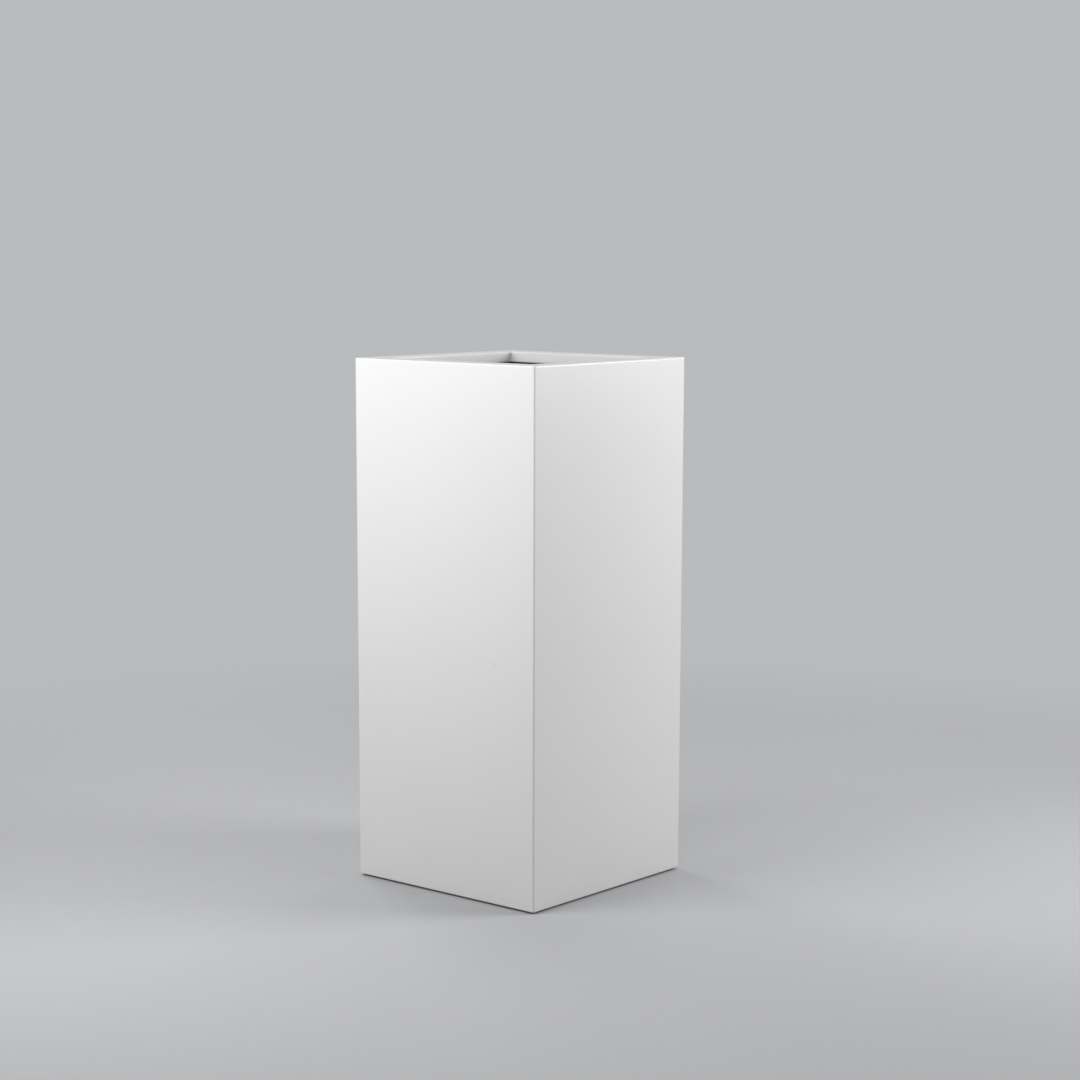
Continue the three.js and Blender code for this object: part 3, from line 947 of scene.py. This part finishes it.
# Beads of bonding resin in the angles where the board and the battens meet the walls, smoothed by hand
bead = {
    "sink": 0.0002,  # into what the bead sticks to
    "bendRadius": 0.006,  # in the corners of the planter
    "ripple": 0.00035,
    "colour": (0.040, 0.042, 0.046),
    "runs": {
        "base_board": ("base_board", "top", 0.0040),
        "shelf_ledge_under": ("shelf_ledge_front", "bottom", 0.0060),
        "shelf_ledge_top": ("shelf_ledge_front", "top", 0.0025),
        "rim_batten_under": ("rim_batten_front", "bottom", 0.0050),
    },
}


def makeBead(name, node, side, leg):
    # a hollow quarter round in the angle between a level face and the wall, carried round the inside.
    # Its surface ripples by a sum of sines of the distance round.
    b = bead
    low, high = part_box(node)
    z, way = (high.z, 1) if side == "top" else (low.z, -1)
    wall = innerHalf(z)
    angle = np.linspace(0, math.pi / 2, 9)
    cove = np.stack([wall - leg + leg * np.sin(angle), z + way * (leg - leg * np.cos(angle))], 1)
    back = [(wall + b["sink"], z + way * leg), (wall + b["sink"], z - way * b["sink"])]
    back.append((wall - leg, z - way * b["sink"]))
    half, height = np.vstack([cove, back]).T
    bend = b["bendRadius"] - shell["innerCorner"]
    corner = shell["innerCorner"] + np.clip((wall - half) / leg, 0, 1) * bend
    rings = squareRings(np.stack([half, corner, height], 1), squarePath(60))
    out = rings[..., :2] / np.linalg.norm(rings[..., :2], axis=2, keepdims=True)
    count = np.arange(rings.shape[1])
    ripple = np.sin(count * 0.37 + z * 50) + 0.6 * np.sin(count * 0.83 + 1) + 0.4 * np.sin(count * 1.9 + 2)
    inner = np.zeros(len(half))
    inner[1:8] = np.sin(2 * angle[1:8])
    swell = b["ripple"] * leg / 0.006 * inner[:, None] * ripple[None, :]
    rings[..., :2] -= swell[..., None] * out
    rings[..., 2] += swell * way
    return makePiece(name, [grid(rings, closed=True, inward=way > 0)])


def bondingResin():
    # thickened resin under a brushed coat: lumpy, half glossy, with dust caught in it
    gloss = {"IOR": 1.53, "Coat Weight": 0.2, "Coat Roughness": 0.2}
    material, tree, shader = newMaterial("bondingResin", **gloss)
    spot = objectSpace(tree)
    colour = bead["colour"]
    cloud = noise(tree, spot, 40.0, 3.0)
    tone = patchy(tree, cloud, colour, 0.6, 1.6)
    roughness = remap(tree, noise(tree, spot, 70.0, 3.0), 0.0, 1.0, 0.28, 0.6)
    lumps = bump(tree, noise(tree, spot, 160.0, 3.0), 0.0006, 0.6)
    connect(tree, shader, tone, roughness, lumps)
    return material


beadResin = bondingResin()
for name, run in bead["runs"].items():
    place(makeBead("bonding_bead_" + name, *run), "planter", None, "gelcoat", beadResin)
print("bonding beads made")

# The loose shelf that carries the soil: seep holes in rows, and two finger holes to lift it by
low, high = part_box("shelf")
shelf = {
    "bottom": low.z,
    "top": high.z,
    "half": high.x,
    "cornerRadius": 0.008,
    "ease": 0.0012,
    "fingerRadius": 0.014,
    "fingerMargin": 0.010,  # from a finger hole's edge to the ledge
    "seepRadius": 0.004,
    "seepRows": 5,
    "seepMargin": 0.012,  # from the outer row's edge to the finger hole's edge
    "colour": (0.052, 0.055, 0.060),
}


def shelfHoles():
    s = shelf
    ledgeInner = -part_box("shelf_ledge_front")[1].y
    fingerY = ledgeInner - s["fingerMargin"] - s["fingerRadius"]
    seepReach = fingerY - s["fingerRadius"] - s["seepMargin"] - s["seepRadius"]
    places = np.linspace(-seepReach, seepReach, s["seepRows"])
    holes = [(x, y, s["seepRadius"], None) for x in places for y in places]
    return holes + [(0.0, y, s["fingerRadius"], None) for y in (-fingerY, fingerY)]


def makeShelf():
    s = shelf
    flat = 0.005
    corners = [
        (s["half"] - flat, s["bottom"], 0),
        (s["half"], s["bottom"], s["ease"]),
        (s["half"], s["top"], s["ease"]),
        (s["half"] - flat, s["top"], 0),
    ]
    half, z = fillet(corners, 5).T
    rows = np.stack([half, s["cornerRadius"] + half - s["half"], z], 1)
    rings = squareRings(refine(rows, s["ease"], 0.004), squarePath(24))
    walls, lowHoles, highHoles = drilledHoles(shelfHoles(), s["bottom"], s["top"], s["ease"])
    faces = [flatFill(rings[0], lowHoles, False), flatFill(rings[-1], highHoles, True)]
    return makePiece("soil_shelf", [grid(rings), *walls, *faces])


def recycledBoard():
    # dark board pressed from plastic flakes: pebbled skin, paler flakes, sawn edges and some scratches
    s = shelf
    material, tree, shader = newMaterial("recycledBoard", **{"IOR": 1.5, "Specular IOR Level": 0.45})
    spot = objectSpace(tree)
    colour = s["colour"]
    cloud = noise(tree, spot, 12.0, 4.0, 0.6)
    tone = patchy(tree, cloud, colour, 0.75, 1.35)
    flake = addNode(tree, "ShaderNodeTexVoronoi", {"Vector": spot, "Scale": 190.0})
    chosen = addNode(tree, "ShaderNodeSeparateXYZ", {0: flake.outputs["Color"]}).outputs["X"]
    pale = calc(tree, "MULTIPLY", remap(tree, chosen, 0.86, 0.93), 0.3)
    tone = mixColour(tree, pale, tone, (0.14, 0.145, 0.15))
    scratch = noise(tree, objectSpace(tree, (18.0, 520.0, 60.0), (0.0, 0.0, 0.6)), 1.0, 1.0)
    line = remap(tree, scratch, 0.70, 0.74, 0.0, 0.35)
    tone = mixColour(tree, line, tone, (0.12, 0.12, 0.12))
    dust = remap(tree, noise(tree, spot, 5.0, 4.0, 0.6), 0.45, 0.8, 0.0, 0.22)
    tone = mixColour(tree, dust, tone, (0.17, 0.15, 0.12))
    roughness = remap(tree, cloud, 0.0, 1.0, 0.48, 0.78)
    pebble = addNode(tree, "ShaderNodeTexVoronoi", {"Vector": spot, "Scale": 420.0}, feature="SMOOTH_F1")
    skin = bump(tree, pebble.outputs["Distance"], 0.00035, 0.5)
    sawn = noise(tree, objectSpace(tree, (60.0, 60.0, 900.0)), 1.0, 2.0)
    connect(tree, shader, tone, roughness, bump(tree, sawn, 0.0001, 0.3, skin))
    return material


place(makeShelf(), "shelf", "shelf", "shelf_board", recycledBoard())
print("shelf made")

# A pale floor that fades out into an equally pale background, so that it looks alike from every side
stage = {
    "radius": 7.0,
    "fadeFrom": 0.6,
    "fadeTo": 2.4,
    "floor": (0.47, 0.474, 0.482),
    "bounce": (0.26, 0.26, 0.265),  # the floor's colour for the light that it throws back up
    "background": (0.49, 0.495, 0.504),
    "fill": 0.26,  # how strongly the surroundings light the object
}


def seenDirectly(tree):
    # 1 for what the camera sees, also in gloss and through glass, and 0 for light on its way to a surface
    path = addNode(tree, "ShaderNodeLightPath").outputs
    either = calc(tree, "MAXIMUM", path["Is Camera Ray"], path["Is Glossy Ray"])
    return calc(tree, "MAXIMUM", either, path["Is Transmission Ray"])


def makeFloor():
    rings = turned([(radius, 0.0) for radius in np.linspace(0.5, stage["radius"], 14)], 96)[::-1]
    floor = makePiece("studio_floor", [grid(rings), fan(rings[-1], up=True)])
    material, tree, shader = newMaterial("paleFloor", Roughness=0.8)
    spot = objectSpace(tree)
    cloud = noise(tree, spot, 1.6, 2.0)
    colour = stage["floor"]
    tone = mixColour(tree, seenDirectly(tree), stage["bounce"], patchy(tree, cloud, colour, 0.99, 1.01))
    roughness = remap(tree, noise(tree, spot, 30.0, 2.0), 0.0, 1.0, 0.7, 0.9)
    connect(tree, shader, tone, roughness, bump(tree, noise(tree, spot, 260.0, 3.0), 0.0002, 0.3))
    distance = addNode(tree, "ShaderNodeVectorMath", {0: spot}, operation="LENGTH").outputs["Value"]
    fade = remap(tree, distance, stage["fadeFrom"], stage["fadeTo"], smooth=True)
    clear = addNode(tree, "ShaderNodeBsdfTransparent").outputs[0]
    blend = addNode(tree, "ShaderNodeMixShader", {0: fade, 1: shader.outputs[0], 2: clear}).outputs[0]
    tree.links.new(blend, tree.nodes["Material Output"].inputs["Surface"])
    floor.data.materials.append(material)


def makeWorld():
    # the camera, gloss and glass see the pale background; the object is lit by a plain white surround
    world = bpy.data.worlds.new("studio")
    world.use_nodes = True
    tree = world.node_tree
    surround = tree.nodes["Background"]
    surround.inputs["Color"].default_value = (1.0, 1.0, 1.0, 1.0)
    surround.inputs["Strength"].default_value = stage["fill"]
    seen = addNode(tree, "ShaderNodeBackground", {"Color": (*stage["background"], 1.0), "Strength": 1.0})
    blend = {0: seenDirectly(tree), 1: surround.outputs[0], 2: seen.outputs[0]}
    blend = addNode(tree, "ShaderNodeMixShader", blend)
    tree.links.new(blend.outputs[0], tree.nodes["World Output"].inputs["Surface"])
    bpy.context.scene.world = world


# Softboxes: name, place, aim, size in metres, watts. The two side boxes stand close, a little above the rim,
# so their light falls off towards the floor, and a little behind the faces that they light. The small front
# box catches the near vertical edge, and the back and top boxes light the sides that face away.
softboxes = (
    ("leftSoftbox", (-1.34, 0.46, 1.34), (-0.2, 0.1, 0.66), (1.0, 1.0), 17.4),
    ("rightSoftbox", (1.20, -1.56, 1.34), (0.1, -0.2, 0.66), (1.0, 1.0), 28.0),
    ("frontSoftbox", (-1.25, -0.75, 1.70), (-0.2, -0.2, 0.85), (0.45, 0.3), 3.2),
    ("backLeftSoftbox", (0.65, 2.10, 1.35), (0.0, 0.2, 0.5), (0.9, 0.9), 12),
    ("backRightSoftbox", (2.10, 0.65, 1.35), (0.2, 0.0, 0.5), (0.9, 0.9), 6),
    ("topSoftbox", (0.6, 0.7, 2.8), (0.0, 0.0, 0.6), (1.2, 1.2), 4),
)


def addSoftbox(name, place, aim, size, watts):
    data = bpy.data.lights.new(name, "AREA")
    data.shape = "RECTANGLE"
    data.size, data.size_y = size
    data.energy = watts
    lamp = bpy.data.objects.new(name, data)
    lamp.location = place
    way = np.array(aim) - np.array(place)
    tilt = math.atan2(math.hypot(way[0], way[1]), -way[2])
    lamp.rotation_euler = (tilt, 0.0, math.atan2(-way[0], way[1]))
    lamp.visible_camera = False
    bpy.context.scene.collection.objects.link(lamp)


makeFloor()
makeWorld()
for softbox in softboxes:
    addSoftbox(*softbox)
bpy.context.scene.view_settings.view_transform = "Standard"
print("floor, surround and softboxes placed")
